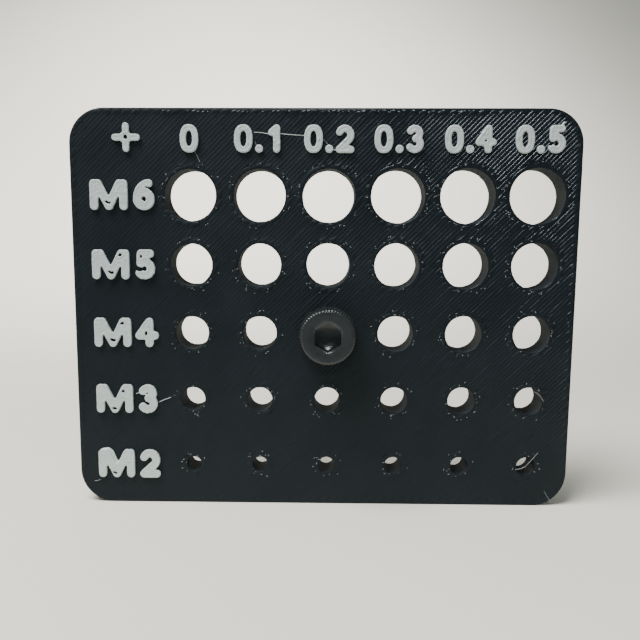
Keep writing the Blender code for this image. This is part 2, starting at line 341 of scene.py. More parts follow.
def add_grain(tree, shader, size, strength, distance):
    """Fine relief on a shader's normal."""
    bump = add_node(tree, "ShaderNodeBump", {"Strength": strength, "Distance": distance},
                    {"Height": object_noise(tree, size, 2.0)})
    feed(tree, shader, {"Normal": bump})


def black_pla(settings, name, smoothest, dullest, sheen, tint, scatter, matt):
    """Extruded black PLA: each cooled bead has a satin skin, so the ridges catch soft light as thin
    lines, and patches that cooled at other speeds are a little duller. Where the nozzle pressed the
    lines against the bed they took its matt grain. On the sides the edges of the layers scatter the
    light, so they look lighter and matt."""
    base = shaded(settings.filament, scatter)
    material, tree, shader, patches = patchy_material(name, 5.0 * MM, 4.0, shaded(base, 0.75),
                                                      shaded(base, 1.3))
    place = add_node(tree, "ShaderNodeTexCoord")
    split = add_node(tree, "ShaderNodeSeparateXYZ", links={0: place.outputs["Object"]})
    across = add_node(tree, "ShaderNodeMath", links={0: split.outputs["X"], 1: split.outputs["Z"]},
                      operation="ADD")
    pressed = add_node(tree, "ShaderNodeMapRange", {"From Min": PRESSED_FROM - PRESSED_FADE,
                                                    "From Max": PRESSED_FROM, "To Min": matt,
                                                    "To Max": 0.0}, {"Value": across})
    dull = patchy_roughness(tree, patches, smoothest, dullest)
    rough = add_node(tree, "ShaderNodeMath", links={0: dull, 1: pressed}, operation="ADD")
    # The matt grain takes off 1.4 times as large a share of the sheen as it adds to the roughness.
    level = add_node(tree, "ShaderNodeMath", {1: -1.4 * sheen, 2: sheen}, {0: pressed},
                     operation="MULTIPLY_ADD")
    feed(tree, shader, {"Roughness": rough, "Specular IOR Level": level})
    set_inputs(shader, {"IOR": 1.46, "Specular Tint": (*linear_colour(tint), 1.0)})
    add_grain(tree, shader, 0.12 * MM, 0.25, 0.02 * MM)
    return material


def drawn_pla():
    """Hairs drawn out of black PLA, coloured mid to light grey in patches. The grey is partly real, since
    they are so thin that light passes, and partly painted glint, so they show as bright specks. Their gloss
    adds a sharp glint on the bright side."""
    material, _, shader, _ = patchy_material("drawn_pla", 0.5 * MM, 2.0, linear_colour("#2b3033"),
                                             linear_colour("#aeb4b6"))
    set_inputs(shader, {"Roughness": 0.22, "IOR": 1.46})
    return material


def grey_pla(settings):
    """Extruded light grey PLA: glossier than the black, with cloudy lumps where the beads met."""
    base = settings.filament
    material, tree, shader, clouds = patchy_material("grey_pla", 0.9 * MM, 3.0, shaded(base, 0.86),
                                                     shaded(base, 1.12))
    feed(tree, shader, {"Roughness": patchy_roughness(tree, clouds, 0.20, 0.34)})
    set_inputs(shader, {"IOR": 1.46, "Subsurface Weight": 0.08, "Subsurface Scale": 0.2 * MM})
    add_grain(tree, shader, 0.16 * MM, 0.2, 0.02 * MM)
    return material


def black_oxide_steel(settings):
    """Black oxide on alloy steel: a dark brown-black film with soft sheen, its tone and gloss varying in
    patches.
    """
    base = settings.coating
    material, tree, shader, film = patchy_material("black_oxide_steel", 0.8 * MM, 4.0,
                                                   shaded(base, 0.7), shaded(base, 1.3))
    feed(tree, shader, {"Roughness": patchy_roughness(tree, film, 0.13, 0.24)})
    set_inputs(shader, {"Metallic": 0.45})
    add_grain(tree, shader, 0.05 * MM, 0.35, 0.012 * MM)
    return material


def stage_material(name, base, contrast, size, detail, roughness):
    """A matt material of the studio, paper or laminate: one even colour with a hardly visible mottle."""
    material, _, shader, _ = patchy_material(name, size, detail, shaded(base, 1 - contrast),
                                             shaded(base, 1 + contrast))
    set_inputs(shader, {"Roughness": roughness})
    return material


# Plate

def rounded_rectangle(inset, radius, facets):
    """Outline of the plate moved inwards, as (x, z) points."""
    bend = radius - inset
    left = PLATE_LOW.x + radius
    right = PLATE_HIGH.x - radius
    bottom = PLATE_LOW.z + radius
    top = PLATE_HIGH.z - radius
    points = []
    for x, z, start in ((right, top, 0), (left, top, 90), (left, bottom, 180), (right, bottom, 270)):
        for step in range(facets + 1):
            angle = math.radians(start + 90 * step / facets)
            points.append((x + bend * math.cos(angle), z + bend * math.sin(angle)))
    return points


def circle(centre, radius, facets):
    """A circle of (x, z) points."""
    return [(centre[0] + radius * math.cos(2 * math.pi * step / facets),
             centre[1] + radius * math.sin(2 * math.pi * step / facets)) for step in range(facets)]


def plate_holes():
    """Centre and radius of every hole, read from the front face of the plate's solid."""
    builder = solid_builder("gauge_plate")
    rim = [edge for edge in builder.edges
           if sum(face.normal.y < -0.999 for face in edge.link_faces) == 1]
    neighbours = {}
    for edge in rim:
        for vertex in edge.verts:
            neighbours.setdefault(vertex, []).append(edge.other_vert(vertex))
    holes = []
    unused = set(neighbours)
    while unused:
        loop = []
        waiting = [min(unused, key=lambda vertex: vertex.index)]
        while waiting:
            vertex = waiting.pop()
            if vertex in unused:
                unused.remove(vertex)
                loop.append(vertex.co.copy())
                waiting += neighbours[vertex]
        centre = sum(loop, Vector()) / len(loop)
        radius = sum((point - centre).length for point in loop) / len(loop)
        if radius < HOLE_PITCH / 2:
            holes.append(((centre.x, centre.z), radius))
    builder.free()
    return sorted(holes, key=lambda hole: (-round(hole[0][1], 4), hole[0][0]))


HOLES = plate_holes()


def add_wall(builder, loops):
    """Quads between a stack of loops with the same number of points. Returns the two end rings."""
    rings = [[builder.verts.new((x, y, z)) for x, z in points] for points, y in loops]
    join_rings(builder, rings)
    return rings[0], rings[-1]


def layer_rows(settings):
    """Depth and groove of each row of a printed wall, between the lines of the two faces."""
    front = FRONT_Y + settings.bead_crown
    back = BACK_Y - settings.bead_crown
    count = 2 * round((back - front) / settings.layer_height)
    return [(front + (back - front) * step / count, 0.0 if step % 2 else settings.layer_groove)
            for step in range(count + 1)]


class GAUGE_OT_plate_core(Operator):
    """Build the plate's core, with the layers showing in its edges and hole walls"""
    bl_idname = "gauge.plate_core"
    bl_label = "Plate core"

    def execute(self, context):
        settings = context.scene.gauge_plate
        builder = bmesh.new()
        rows = layer_rows(settings)
        ends = [[], []]
        walls = [[(rounded_rectangle(groove, settings.corner_radius, 12), y) for y, groove in rows]]
        for centre, radius in HOLES:
            facets = max(20, round(2 * math.pi * radius / (0.45 * MM)))
            walls.append([(circle(centre, radius + groove, facets), y) for y, groove in rows])
        for wall in walls:
            for end, ring in zip(ends, add_wall(builder, wall)):
                end += [builder.edges.get(pair) for pair in zip(ring, ring[1:] + ring[:1])]
        for edges in ends:
            bmesh.ops.triangle_fill(builder, edges=edges, use_beauty=True)
        mesh = built_mesh("plate_core", builder)
        mesh.shade_smooth()
        mesh.set_sharp_from_angle(angle=math.radians(50))
        mesh.materials.append(black_pla(settings, "black_pla_sides", smoothest=0.48, dullest=0.60,
                                        sheen=0.08, tint="#a8dfe8", scatter=1.5, matt=0.0))
        finish_piece(link_object("plate_core", mesh), "black_filament", "gauge_plate")
        return {"FINISHED"}


def depth_inside(x, z, settings):
    """How far points lie inside the area that the slanted lines fill, from the loops round it."""
    bend = settings.corner_radius - settings.outline_loops * settings.bead_width
    beyond_x = np.abs(x - PLATE_X) - (PLATE_WIDTH / 2 - settings.corner_radius)
    beyond_z = np.abs(z - PLATE_Z) - (PLATE_HEIGHT / 2 - settings.corner_radius)
    outside = np.hypot(np.maximum(beyond_x, 0), np.maximum(beyond_z, 0))
    depth = bend - outside - np.minimum(np.maximum(beyond_x, beyond_z), 0)
    for centre, radius in HOLES:
        kept = radius + settings.hole_loops * settings.bead_width
        depth = np.minimum(depth, np.hypot(x - centre[0], z - centre[1]) - kept)
    return depth


def line_pieces(settings, slope):
    """The straight pieces of the slanted lines, cut where they meet the loops, line by line. A piece
    is its line's origin and its start and end along the line."""
    along = np.array([1.0, slope]) / math.sqrt(2)
    across = np.array([-slope, 1.0]) / math.sqrt(2)
    centre = np.array([PLATE_X, PLATE_Z])
    reach = math.hypot(PLATE_WIDTH, PLATE_HEIGHT) / 2
    travel = np.arange(-reach, reach, 0.05 * MM)
    half_count = int(reach / settings.bead_width)
    lines = []
    for number in range(-half_count, half_count + 1):
        origin = centre + across * number * settings.bead_width
        x = origin[0] + travel * along[0]
        z = origin[1] + travel * along[1]
        inside = depth_inside(x, z, settings) > 0.1 * settings.bead_width
        changes = np.flatnonzero(np.diff(inside.astype(int)))
        spans = [(travel[first + 1], travel[last]) for first, last in zip(changes[::2], changes[1::2])]
        lines.append([(origin, start, end) for start, end in spans
                      if end - start > 0.4 * settings.bead_width])
    return along, across, lines


def joined_ends(settings, lines):
    """Which piece the nozzle turns round into at a piece's start, side 1, or at its end, side 2."""
    turns = {}
    reach = 3.0 * settings.bead_width
    for number in range(len(lines) - 1):
        side = 2 if number % 2 else 1
        taken = set()
        for index, piece in enumerate(lines[number]):
            gaps = [(abs(other[side] - piece[side]), place)
                    for place, other in enumerate(lines[number + 1]) if place not in taken]
            gap, place = min(gaps, default=(reach, 0))
            if gap < reach:
                taken.add(place)
                turns[(number, index), side] = (number + 1, place)
                turns[(number + 1, place), side] = (number, index)
    return turns


def slanted_lines(settings, rng, slope, step_length):
    """Paths of the slanted lines that fill a face. The nozzle turns round where a line meets the
    loops and lays the next line back, and leaves a small swelling at each turn. The lines are spread
    flatter in patches, and away from the top right corner, where the nozzle ran nearer the bed."""
    along, across, lines = line_pieces(settings, slope)
    turns = joined_ends(settings, lines)
    pieces = {(number, index): piece for number, line in enumerate(lines)
              for index, piece in enumerate(line)}
    unused = set(pieces)
    swell = 0.45 * MM
    swell_lift = 0.03 * MM
    bulge = 0.18 * MM
    bulge_lift = 0.045 * MM
    patch_size = 4.5 * MM
    paths = []
    while unused:
        key = min(unused)
        side = 1 if (key, 1) not in turns or (key, 2) in turns else 2
        walked = set()
        while (key, side) in turns and key not in walked:
            walked.add(key)
            key = turns[key, side]
            side = 3 - side
        path = []
        while key in unused:
            unused.remove(key)
            origin, start, end = pieces[key]
            span = end - start
            count = max(2, int(round(span / step_length)) + 1)
            swell_share = min(0.3, swell / span)
            shares = sorted({swell_share, 1 - swell_share, *np.linspace(0.0, 1.0, count)})
            if side == 2:
                shares = shares[::-1]
            tall = rng.uniform(0.3, 1.0)
            even = rng.uniform(0.0, 0.22)
            for share in shares:
                near_end = max(0.0, 1 - min(share, 1 - share) * span / swell)
                point = origin + along * (start + span * share) + across * rng.normal(0.0, 0.010 * MM)
                patch = noise.noise(Vector((point[0], 0.0, point[1])) / patch_size)
                beyond_line = (PRESSED_FROM - point[0] - point[1]) / PRESSED_FADE
                pressed = settings.pressed * min(1.0, max(0.0, beyond_line))
                spread = min(0.5, max(0.0, even + 0.8 * patch + pressed)) * (1 - near_end)
                lift = rng.normal(0.0, 0.006 * MM) + swell_lift * near_end * tall
                path.append((point[0], point[1], lift - spread * settings.bead_crown,
                             1.0 + rng.normal(0.0, 0.03) + 0.20 * near_end * tall + spread))
            side = 3 - side
            if (key, side) not in turns:
                break
            here = origin + along * pieces[key][side]
            key = turns[key, side]
            there = pieces[key][0] + along * pieces[key][side]
            beyond = along * (bulge if side == 2 else -bulge)
            for share in (0.2, 0.5, 0.8):
                point = here + (there - here) * share + beyond * math.sin(math.pi * share)
                path.append((point[0], point[1], bulge_lift * tall, 1.0 + 0.25 * tall))
        paths.append((path, False))
    return paths


def loop_paths(settings, rng):
    """Paths of the loops that follow the outline and each hole."""
    loops = []
    for number in range(settings.outline_loops):
        corners = rounded_rectangle((number + 0.70) * settings.bead_width, settings.corner_radius, 12)
        points = []
        for (x0, z0), (x1, z1) in zip(corners, corners[1:] + corners[:1]):
            count = max(1, int(math.hypot(x1 - x0, z1 - z0) / (1.6 * MM)))
            points += [(x0 + (x1 - x0) * step / count, z0 + (z1 - z0) * step / count)
                       for step in range(count)]
        loops.append(points)
    for centre, radius in HOLES:
        for number in range(settings.hole_loops):
            ring = radius + (number + 0.55) * settings.bead_width
            loops.append(circle(centre, ring, max(18, round(2 * math.pi * ring / (0.55 * MM)))))
    return [([(x + rng.normal(0.0, 0.008 * MM), z + rng.normal(0.0, 0.008 * MM),
               rng.normal(0.0, 0.006 * MM), rng.uniform(0.95, 1.05)) for x, z in points], True)
            for points in loops]


def bead_tree():
    """Geometry tree that lays a flattened round bead along paths drawn flat, then stands them up."""
    tree, inputs = new_tree("filament_beads", ("Half Width", "Half Height", "Lift"), ("Sides",))
    curves = add_node(tree, "GeometryNodeMeshToCurve", links={"Mesh": inputs["Geometry"]})
    scale = add_node(tree, "GeometryNodeInputNamedAttribute", {"Name": "bead_scale"}, data_type="FLOAT")
    ring = add_node(tree, "GeometryNodeCurvePrimitiveCircle", {"Radius": 1.0},
                    {"Resolution": inputs["Sides"]})
    beads = sweep(tree, curves, scale, ring, inputs["Half Width"], inputs["Half Height"])
    lift = add_node(tree, "ShaderNodeCombineXYZ", links={"Z": inputs["Lift"]})
    raised = add_node(tree, "GeometryNodeTransform", links={"Geometry": beads, "Translation": lift})
    close_tree(tree, raised, inputs["Material"])
    return tree


class GAUGE_OT_face_beads(Operator):
    """Lay the visible filament lines on the front and back faces"""
    bl_idname = "gauge.face_beads"
    bl_label = "Face beads"

    def execute(self, context):
        settings = context.scene.gauge_plate
        rng = np.random.default_rng(7)
        tree = bead_tree()
        material = black_pla(settings, "black_pla_beads", smoothest=0.10, dullest=0.20, sheen=0.32,
                             tint="#ecf8ff", scatter=1.0, matt=0.30)
        crown = settings.bead_crown
        faces = (
            ("front_beads", 1, 1.5 * MM, -FRONT_Y - crown),
            ("back_beads", -1, 4.0 * MM, -BACK_Y + crown),
        )
        for name, slope, step_length, lift in faces:
            paths = slanted_lines(settings, rng, slope, step_length) + loop_paths(settings, rng)
            item = run_tree(name, path_mesh(name, paths), tree, {
                "Half Width": 0.6 * settings.bead_width, "Half Height": crown, "Sides": 10,
                "Lift": lift, "Material": material})
            finish_piece(item, "black_filament")
        return {"FINISHED"}


# Marks

# Small voids where the nozzle's lines left a gap in a mark: the gap's centre, width and height in
# millimetres, and its turn in degrees.
MARK_VOIDS = {
    "mark_plus": ((-22.77, 43.39, 0.34, 0.46, 20),),
    "mark_m6_letter": ((-25.12, 36.07, 0.44, 0.15, -40), (-24.84, 35.99, 0.32, 0.15, 12)),
    "mark_m6_six": ((-20.46, 37.75, 0.80, 0.10, -12),),
    "mark_m5_letter": ((-25.00, 28.00, 0.46, 0.18, -38), (-24.77, 27.93, 0.38, 0.22, 20),
                       (-23.78, 30.00, 0.40, 0.24, 22)),
    "mark_m5_five": ((-21.32, 29.84, 0.14, 0.40, 0), (-21.80, 28.47, 0.90, 0.34, -8),
                     (-21.55, 28.35, 0.80, 0.40, 0)),
    "mark_0_5_five": ((25.45, 42.74, 0.80, 0.30, -8),),
    "mark_m4_letter": ((-24.99, 20.00, 0.44, 0.21, -32), (-24.76, 19.96, 0.38, 0.20, 14),
                       (-23.76, 21.98, 0.40, 0.23, 18)),
    "mark_m4_four": ((-20.95, 20.80, 0.20, 0.46, -8),),
    "mark_m3_letter": ((-24.96, 11.71, 0.52, 0.20, -8), (-23.88, 13.80, 0.32, 0.22, 20)),
    "mark_m2_letter": ((-25.12, 3.72, 0.54, 0.20, -24),),
    "mark_0_4_four": ((18.24, 43.06, 0.13, 0.34, -28),),
}
# Filament laid beside a mark: the line's points, its radius and its height, in millimetres.
MARK_EXTRAS = {
    "mark_plus": ((((-22.82, 43.36), (-22.74, 43.36)), 0.72, 0.40),),
    "mark_m6_six": ((((-20.55, 36.62), (-20.50, 36.80)), 0.13, 0.38),
                    (((-20.98, 36.22), (-21.03, 36.05)), 0.13, 0.38)),
    "mark_m2_letter": ((((-26.62, 5.90), (-26.50, 6.24), (-25.98, 6.30), (-25.74, 6.10), (-25.28, 5.0)),
                        0.56, 0.20),),
    "mark_0_2_two": ((((0.62, 42.02), (1.60, 42.02)), 0.06, 0.14),),
    "mark_0_5_five": ((((26.60, 44.55), (27.02, 45.12)), 0.13, 0.34),),
    "mark_0_4_four": ((((18.30, 42.55), (18.60, 42.35)), 0.34, 0.36),),
}


def add_prism(builder, outline, y_front, y_back):
    """A closed prism between two depths from an (x, z) outline."""
    front, back = add_wall(builder, ((outline, y_front), (outline, y_back)))
    builder.faces.new(front)
    builder.faces.new(back[::-1])


def add_filament_line(builder, points, radius, y_front, y_back):
    """Round-ended pieces of a flat line of filament, one for each span between points."""
    facets = 20
    for (x0, z0), (x1, z1) in zip(points, points[1:]):
        heading = math.atan2(z1 - z0, x1 - x0)
        outline = []
        for step in range(facets):
            angle = heading + math.pi / 2 + 2 * math.pi * (step + 0.5) / facets
            x, z = (x0, z0) if step < facets / 2 else (x1, z1)
            outline.append((x + radius * math.cos(angle), z + radius * math.sin(angle)))
        add_prism(builder, outline, y_front, y_back)


class GAUGE_OT_marks(Operator):
    """Turn each raised mark's solid into a rounded, lumpy printed one"""
    bl_idname = "gauge.marks"
    bl_label = "Raised marks"

    def execute(self, context):
        settings = context.scene.gauge_marks
        material = grey_pla(settings)
        for node_name in sorted(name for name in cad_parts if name.startswith("mark_")):
            item = self.solid_mark(node_name, settings)
            shrink = settings.header_shrink if node_name.startswith("mark_0") else settings.row_shrink
            self.shape_top(item.data, settings, shrink)
            item.data.shade_smooth()
            item.data.materials.append(material)
            finish_piece(item, "grey_filament", node_name)
        return {"FINISHED"}

    def solid_mark(self, node_name, settings):
        """The mark's solid with its voids and extra filament, remeshed and softened."""
        builder = solid_builder(node_name)
        seat = FRONT_Y + 0.06 * MM
        for vertex in builder.verts:
            if vertex.co.y > FRONT_Y - 0.1 * MM:
                vertex.co.y = seat
        for points, radius, height in MARK_EXTRAS.get(node_name, ()):
            add_filament_line(builder, [(x * MM, z * MM) for x, z in points], radius * MM,
                              FRONT_Y - height * MM, seat)
        item = link_object("printed_" + node_name, built_mesh(node_name, builder))
        self.remesh(item, settings)
        voids = [self.void_cutter(*void) for void in MARK_VOIDS.get(node_name, ())]
        if voids:
            add_cuts(item, voids)
            self.remesh(item, settings)
        soften = item.modifiers.new("soften", "SMOOTH")
        soften.factor = 0.5
        soften.iterations = 13
        return make_plain(item, voids)

    def remesh(self, item, settings):
        """Make a mark one closed skin of small even cells."""
        cells = item.modifiers.new("cells", "REMESH")
        cells.mode = "VOXEL"
        cells.voxel_size = settings.cell

    def void_cutter(self, x, z, width, height, turn):
        """An oval prism that cuts one void, from sizes in millimetres and a turn in degrees."""
        spin = math.radians(turn)
        oval = []
        for px, pz in circle((0.0, 0.0), 0.5 * MM, 12):
            across, up = px * width, pz * height
            oval.append((x * MM + across * math.cos(spin) - up * math.sin(spin),
                         z * MM + across * math.sin(spin) + up * math.cos(spin)))
        builder = bmesh.new()
        add_prism(builder, oval, FRONT_Y - 1.0 * MM, FRONT_Y + 1.0 * MM)
        return link_object("void", built_mesh("void", builder))

    def shape_top(self, mesh, settings, shrink):
        """Draw the rim in, and raise the lines that follow it and the lumps on a mark's face."""
        rim = [(v.co.x, 0.0, v.co.z) for v in mesh.vertices
               if abs(v.normal.y) < 0.4 and v.co.y < FRONT_Y]
        tree = KDTree(len(rim))
        for index, place in enumerate(rim):
            tree.insert(place, index)
        tree.balance()
        moves = []
        for vertex in mesh.vertices:
            lump = noise.noise(vertex.co / (0.8 * MM)) + 0.6 * noise.noise(vertex.co / (0.35 * MM))
            move = vertex.normal * lump * settings.lump
            move -= Vector((vertex.normal.x, 0.0, vertex.normal.z)) * shrink
            if vertex.normal.y < -0.6:
                _, _, gap = tree.find((vertex.co.x, 0.0, vertex.co.z))
                blob = max(0.0, noise.noise(vertex.co / (0.45 * MM) + Vector((7.0, 0.0, 3.0))) - 0.35)
                raised = settings.ridge * math.cos(2 * math.pi * (gap / RIM_LINE - 0.5))
                move.y -= raised + 0.12 * MM * blob
            moves.append(move)
        for vertex, move in zip(mesh.vertices, moves):
            vertex.co += move
        mesh.update()


# Stray filament, as (x, z, height above the face) points in millimetres

GREY_STRINGS = (
    ((-5.05, 43.80, 0.20), (-4.35, 43.72, 0.34), (-3.60, 43.66, 0.36), (-2.20, 43.58, 0.20)),
    ((-8.10, 43.95, 0.20), (-7.60, 43.95, 0.10), (-7.10, 43.91, 0.05), (-6.30, 43.74, 0.15)),
    ((-19.62, 12.52, 0.20), (-19.0, 12.78, 0.06), (-18.55, 12.93, 0.04), (-18.20, 13.06, -0.05)),
    ((-22.40, 13.48, 0.04), (-22.05, 13.58, 0.05), (-21.80, 13.66, 0.12)),
)
DARK_STRINGS = (
    ((-7.98, 42.95, 0.12), (-7.90, 42.70, 0.05), (-7.80, 42.45, 0.10)),
    ((-0.15, 43.16, 0.15), (0.15, 42.85, 0.06), (0.52, 42.50, 0.12)),
    ((-14.98, 41.90, 0.10), (-14.62, 41.30, 0.03), (-14.35, 40.62, 0.02)),
    ((-27.75, 2.58, 0.04), (-27.40, 2.62, 0.05), (-27.02, 2.75, 0.02)),
    ((23.30, 4.52, 0.05), (23.90, 4.62, 0.12), (24.41, 4.88, 0.14), (25.15, 5.72, 0.14), (25.80, 6.46, 0.07),
     (25.92, 6.60, 0.06)),
    ((25.10, 14.10, 0.08), (25.55, 13.85, 0.12), (25.98, 13.40, 0.12), (26.29, 12.89, 0.05)),
    ((26.90, 1.80, 0.04), (27.20, 1.30, 0.06), (27.49, 0.82, 0.04), (27.74, 0.45, 0.03)),
)


class GAUGE_OT_stray_filament(Operator):
    """Draw the thin strings between marks, and the hairs and specks round the holes"""
    bl_idname = "gauge.stray_filament"
    bl_label = "Stray filament"

    def execute(self, context):
        rng = np.random.default_rng(19)
        tree = bpy.data.node_groups["filament_beads"]
        # The hairs round the holes and the ticks along the top edge take the drawn PLA, whose light grey is
        # partly painted glint.
        dark_extras = self.hole_hairs(rng) + self.edge_ticks(rng)
        sets = (
            ("grey_strings", GREY_STRINGS, [], 0.035 * MM, "grey_filament", bpy.data.materials["grey_pla"]),
            ("dark_strings", DARK_STRINGS, dark_extras, 0.034 * MM, "black_filament", drawn_pla()),
        )
        for name, strings, extras, radius, slot_name, material in sets:
            paths = [([(x * MM, z * MM, height * MM, 1.0) for x, z, height in points], False)
                     for points in strings]
            item = run_tree(name, path_mesh(name, paths + extras), tree, {
                "Half Width": radius, "Half Height": radius, "Sides": 6, "Lift": -FRONT_Y,
                "Material": material})
            finish_piece(item, slot_name)
        return {"FINISHED"}

    def edge_ticks(self, rng):
        """Short raised ends of the slanted lines along the top edge, drawn as hairs whose light grey is
        partly painted glint.
        """
        paths = []
        for x in np.arange(PLATE_LOW.x + 4 * MM, PLATE_HIGH.x - 9 * MM, 0.57 * MM):
            if rng.uniform() < 0.35 + 0.5 * (x - PLATE_LOW.x) / PLATE_WIDTH:
                z = PLATE_HIGH.z - rng.uniform(0.32, 0.50) * MM
                reach = rng.uniform(0.12, 0.34) * MM
                paths.append(([(x, z, 0.0, 0.7), (x + reach, z + 0.3 * reach, 0.0, 0.9)], False))
        return paths

    def hole_hairs(self, rng):
        """Short curled hairs and specks that ring each hole but the screw's."""
        paths = []
        for centre, radius in HOLES:
            if math.hypot(centre[0] - SCREW_X, centre[1] - SCREW_Z) < 1.0 * MM:
                continue
            for _ in range(int(3 + radius / (0.19 * MM) + rng.integers(0, 5))):
                angle = rng.uniform(0, 2 * math.pi)
                away = radius + rng.uniform(0.10, 0.85) * MM
                heading = angle + math.pi / 2 + rng.normal(0.0, 0.7)
                place = Vector((centre[0] + away * math.cos(angle), centre[1] + away * math.sin(angle)))
                reach = rng.uniform(0.06, 0.26) * MM
                bend = rng.normal(0.0, 0.5)
                path = []
                for _ in range(5):
                    path.append((place.x, place.y, rng.uniform(0.0, 0.03) * MM, rng.uniform(0.8, 1.5)))
                    place += Vector((math.cos(heading), math.sin(heading))) * reach / 4
                    heading += bend
                paths.append((path, False))
        return paths


# Trial screw

def thread_tree():
    """Geometry tree for a ridge that winds round the screw's core."""
    tree, inputs = new_tree("screw_thread", ("Core Radius", "Depth", "Pitch", "Length"))
    turns = add_node(tree, "ShaderNodeMath", links={0: inputs["Length"], 1: inputs["Pitch"]},
                     operation="DIVIDE")
    spiral = add_node(tree, "GeometryNodeCurveSpiral", {"Resolution": 32}, {
        "Rotations": turns, "Start Radius": inputs["Core Radius"],
        "End Radius": inputs["Core Radius"], "Height": inputs["Length"]})
    share = add_node(tree, "GeometryNodeSplineParameter")
    run_out = add_node(tree, "ShaderNodeMapRange", {"From Min": 0.0, "From Max": 0.04, "To Min": 0.05,
                                                    "To Max": 1.0}, {"Value": share.outputs["Factor"]})
    diamond = add_node(tree, "GeometryNodeCurvePrimitiveCircle", {"Resolution": 4, "Radius": 1.0})
    half_pitch = add_node(tree, "ShaderNodeMath", {1: 0.47}, {0: inputs["Pitch"]}, operation="MULTIPLY")
    ridge = sweep(tree, spiral, run_out, diamond, inputs["Depth"], half_pitch)
    close_tree(tree, ridge, inputs["Material"])
    return tree


def turned_mesh(name, rows, sides, turn=0.0, teeth=(0.0,)):
    """A body turned round the y axis, from rows of a radius, a y and the share of the teeth there. A
    radius of 0 is a point. A first row that isn't one gets a flat cap."""
    builder = bmesh.new()
    rings = []
    for radius, y, toothed in rows:
        ring = []
        for index in range(sides if radius else 1):
            angle = math.radians(turn + 360 * index / sides)
            reach = radius - toothed * teeth[index % len(teeth)]
            ring.append(builder.verts.new((reach * math.cos(angle), y, reach * math.sin(angle))))
        rings.append(ring)
    if len(rings[0]) > 1:
        builder.faces.new(rings[0])
    join_rings(builder, rings)
    return built_mesh(name, builder)


class GAUGE_OT_cap_screw(Operator):
    """Build the socket cap screw: knurled head, hex socket, thread and point"""
    bl_idname = "gauge.cap_screw"
    bl_label = "Cap screw"

    def execute(self, context):
        settings = context.scene.gauge_screw
        core = CREST_RADIUS - settings.thread_depth
        material = black_oxide_steel(settings)
        place = Matrix.Translation((SCREW_X, 0.0, SCREW_Z))
        head = self.turned_head(settings, core)
        head.materials.append(material)
        item = link_object("cap_screw", head)
        cutters = self.socket_cutters(settings)
        add_cuts(item, cutters)
        make_plain(item, cutters)
        item.data.transform(place)
        item.data.shade_smooth()
        item.data.set_sharp_from_angle(angle=math.radians(35))
        finish_piece(item, "black_oxide_steel", "socket_screw")
        thread = run_tree("screw_thread", bpy.data.meshes.new("screw_thread"), thread_tree(), {
            "Core Radius": core, "Depth": settings.thread_depth, "Pitch": settings.pitch,
            "Length": TIP_Y - FRONT_Y - 1.2 * MM, "Material": material})
        thread.data.transform(place @ Matrix.Translation((0.0, TIP_Y - 0.5 * MM, 0.0)))
        finish_piece(thread, "black_oxide_steel")
        return {"FINISHED"}

    def turned_head(self, settings, core):
        """The head and the shank's core as one turned body with knurled sides."""
        radius = (SCREW_HIGH.x - SCREW_LOW.x) / 2 - settings.knurl_depth / 2
        bend = 0.42 * MM
        rows = [(0.0, HEAD_Y, 0.0), (radius - bend - 0.25 * MM, HEAD_Y, 0.0)]
        for step in range(5):
            angle = math.radians(90 * step / 4)
            rows.append((radius - bend + bend * math.sin(angle), HEAD_Y + bend - bend * math.cos(angle),
                         min(1.0, step / 3)))
        rows += [(radius, HEAD_Y + (FRONT_Y - HEAD_Y) * share, 1.0) for share in (0.35, 0.5, 0.65, 0.8)]
        rows += [
            (radius, FRONT_Y - 0.35 * MM, 1.0),
            (radius - 0.12 * MM, FRONT_Y - 0.12 * MM, 0.0),
            (radius - 0.2 * MM, FRONT_Y, 0.0),
            (core + 0.35 * MM, FRONT_Y, 0.0),
            (core + 0.1 * MM, FRONT_Y + 0.1 * MM, 0.0),
            (core, FRONT_Y + 0.4 * MM, 0.0),
            (core, TIP_Y - 0.25 * MM, 0.0),
            (core - 0.25 * MM, TIP_Y, 0.0),
            (0.0, TIP_Y, 0.0),
        ]
        teeth = [settings.knurl_depth * share for share in (0.0, 0.55, 1.0, 0.55)]
        return turned_mesh("cap_screw", rows, settings.knurl_teeth * len(teeth), teeth=teeth)

    def socket_cutters(self, settings):
        """The key socket's hexagon and its countersunk mouth, with no corners in common."""
        corner = settings.hex_across / math.sqrt(3)
        mouth = corner + 0.11 * MM
        clear = 1.0 * MM
        flare = math.tan(math.radians(68))
        floor = HEAD_Y + settings.hex_depth
        cone = ((mouth + clear * flare, HEAD_Y - clear, 0.0), (0.0, HEAD_Y + mouth / flare, 0.0))
        hexagon = ((corner, HEAD_Y - clear, 0.0), (corner, floor, 0.0), (0.0, floor + 0.6 * MM, 0.0))
        return [link_object(name, turned_mesh(name, rows, sides, turn)) for name, rows, sides, turn in (
            ("key_cutter_mouth", cone, 64, 2.0), ("key_cutter_hex", hexagon, 6, 30.0))]


# Studio

SHEET_HALF_WIDTH = 1.2
PAPER_FRONT_Y = -0.05
TABLE_FRONT_Y = -1.2


def add_light(name, kind, place, target, energy, **shape):
    """A soft light that looks at a point."""
    data = bpy.data.lights.new(name, kind)
    data.energy = energy
    for setting, value in shape.items():
        setattr(data, setting, value)
    lamp = link_object(name, data)
    lamp.location = place
    lamp.rotation_mode = "QUATERNION"
    lamp.rotation_quaternion = (Vector(target) - Vector(place)).to_track_quat("-Z", "Y")


